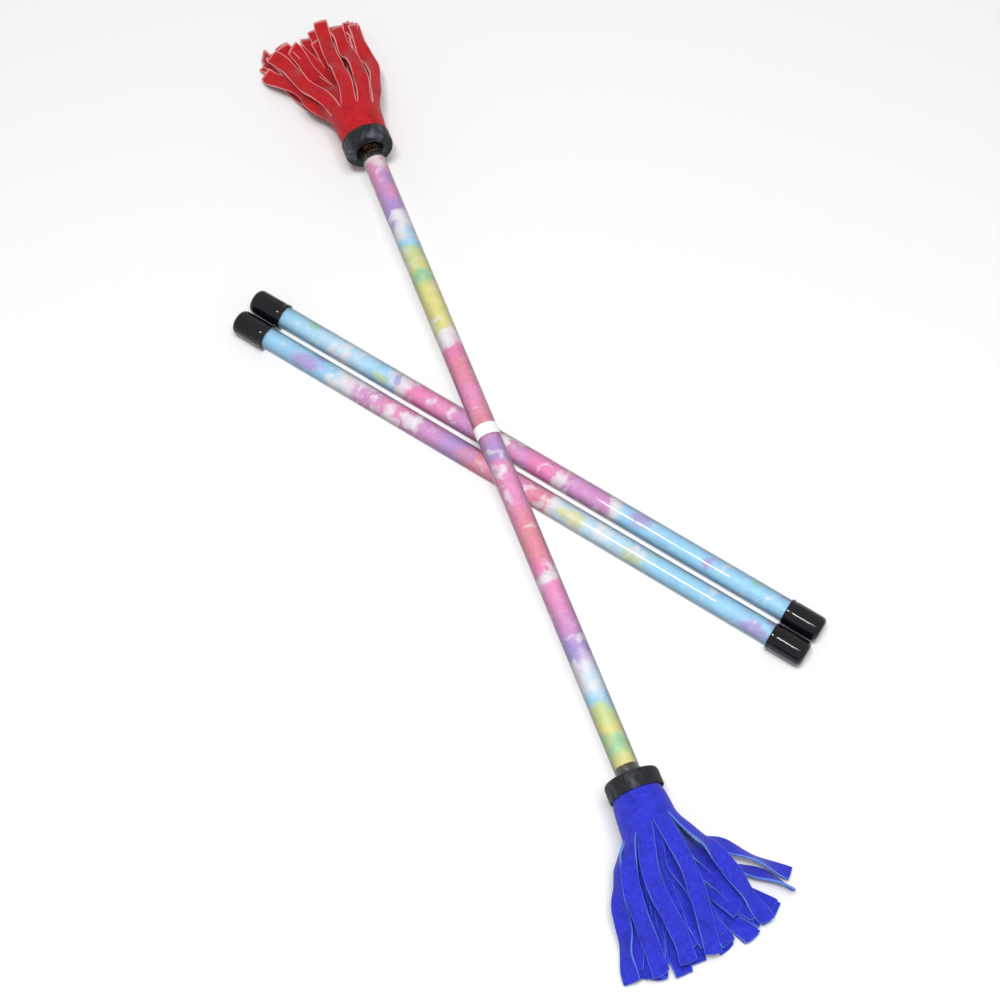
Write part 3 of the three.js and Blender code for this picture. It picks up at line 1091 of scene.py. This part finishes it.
def camera():
    data = bpy.data.cameras.new("camera")
    data.lens = CAMERA_LENS
    data.sensor_width = 36
    look = (CAMERA_AIM - CAMERA_PLACE).to_track_quat("-Z", "Y").to_matrix().to_4x4()
    place = Matrix.Translation(CAMERA_PLACE) @ look @ Matrix.Rotation(CAMERA_ROLL, 4, "Z")
    bpy.context.scene.camera = placed("camera", data, place)


def softbox(name, size, watts, place, mirrored):
    """A rectangular light. One that isn't mirrored lights the set without showing in gloss."""
    data = bpy.data.lights.new(name, "AREA")
    data.shape = "RECTANGLE"
    data.size, data.size_y = size
    data.energy = watts
    placed(name, data, place).visible_glossy = mirrored


def studio_lights():
    softbox("key_softbox", KEY_SIZE, KEY_WATTS, Matrix.Translation(KEY_PLACE) @ HAND_TURN, True)
    softbox("overhead_fill", FILL_SIZE, FILL_WATTS, Matrix.Translation(FILL_PLACE), False)


def studio_world():
    """Even white light all round, brighter where gloss mirrors it than where it falls."""
    world = bpy.data.worlds.new("studio")
    world.use_nodes = True
    tree = world.node_tree
    even = tree.nodes["Background"]
    mirrored = tree.nodes.new("ShaderNodeBackground")
    for background, strength in ((even, WORLD_LIGHT), (mirrored, WORLD_GLOSS)):
        background.inputs["Color"].default_value = (1.0, 1.0, 1.0, 1.0)
        background.inputs["Strength"].default_value = strength
    ray = tree.nodes.new("ShaderNodeLightPath")
    only_mirror = tree.nodes.new("ShaderNodeMath")
    only_mirror.operation = "SUBTRACT"
    only_mirror.use_clamp = True
    for socket, kind in zip(only_mirror.inputs, ("Is Glossy Ray", "Is Transmission Ray")):
        tree.links.new(ray.outputs[kind], socket)
    mix = tree.nodes.new("ShaderNodeMixShader")
    for socket, source in zip(mix.inputs, (only_mirror, even, mirrored)):
        tree.links.new(source.outputs[0], socket)
    tree.links.new(mix.outputs[0], tree.nodes["World Output"].inputs["Surface"])
    bpy.context.scene.world = world


def table_top():
    """A wide pale sheet of studio paper under the sticks."""
    ways = ((-1, -1), (1, -1), (1, 1), (-1, 1))
    corners = [(x * TABLE_HALF, y * TABLE_HALF, 0) for x, y in ways]
    graph = Graph("studio_paper", Roughness=0.9, Specular_IOR_Level=0.1)
    tone = graph.noise(graph.object_place(), 2.0, 1)
    graph.paint(graph.mix(tone, (0.742, 0.742, 0.746, 1), (0.762, 0.762, 0.762, 1)))
    floor = made_object("studio_table", corners, [(0, 1, 2, 3)], [graph.material])


# ---------------- the set

camera()
studio_lights()
studio_world()
table_top()
bpy.context.scene.view_settings.view_transform = "Standard"

MATERIALS = {
    "tube": clear_tube_material(),
    "vinyl": vinyl_material(),
    "rubber": rubber_material(),
    # The neck tape's amber light colour is a painted reflection of the print through the clear tube over
    # black tape.
    "neck": tape_material("neck_tape", colour(15, 13, 12), colour(66, 52, 36)),
    "binding": tape_material("binding_tape", colour(18, 18, 18), colour(40, 40, 40)),
    "label": paper_material(),
    "rod": rod_material(),
}

for stick_name in ("near", "far"):
    hand_stick(stick_name, MATERIALS)

printed_grip("centre", "centre_stick", CENTRE, MATERIALS["tube"])
label(CENTRE, MATERIALS["label"])
for end_name, end_side in SIDE.items():
    neck_wrap(end_name, CENTRE, MATERIALS["neck"])
    collar(end_name, end_side, CENTRE, MATERIALS["rubber"])
    suede = [suede_material(end_name, False), suede_material(end_name, True)]
    tassel(end_name, suede)

# The hidden nodes keep their CAD meshes.
KEPT_NODES = {f"{stick_name}_core_rod": "rod" for stick_name in ("near", "far", "centre")}
KEPT_NODES.update({f"{end_name}_binding_tape": "binding" for end_name in SIDE})
for node_name, material_name in KEPT_NODES.items():
    node_mesh = frame["nodes"][node_name].data
    node_mesh.materials.clear()
    node_mesh.materials.append(MATERIALS[material_name])
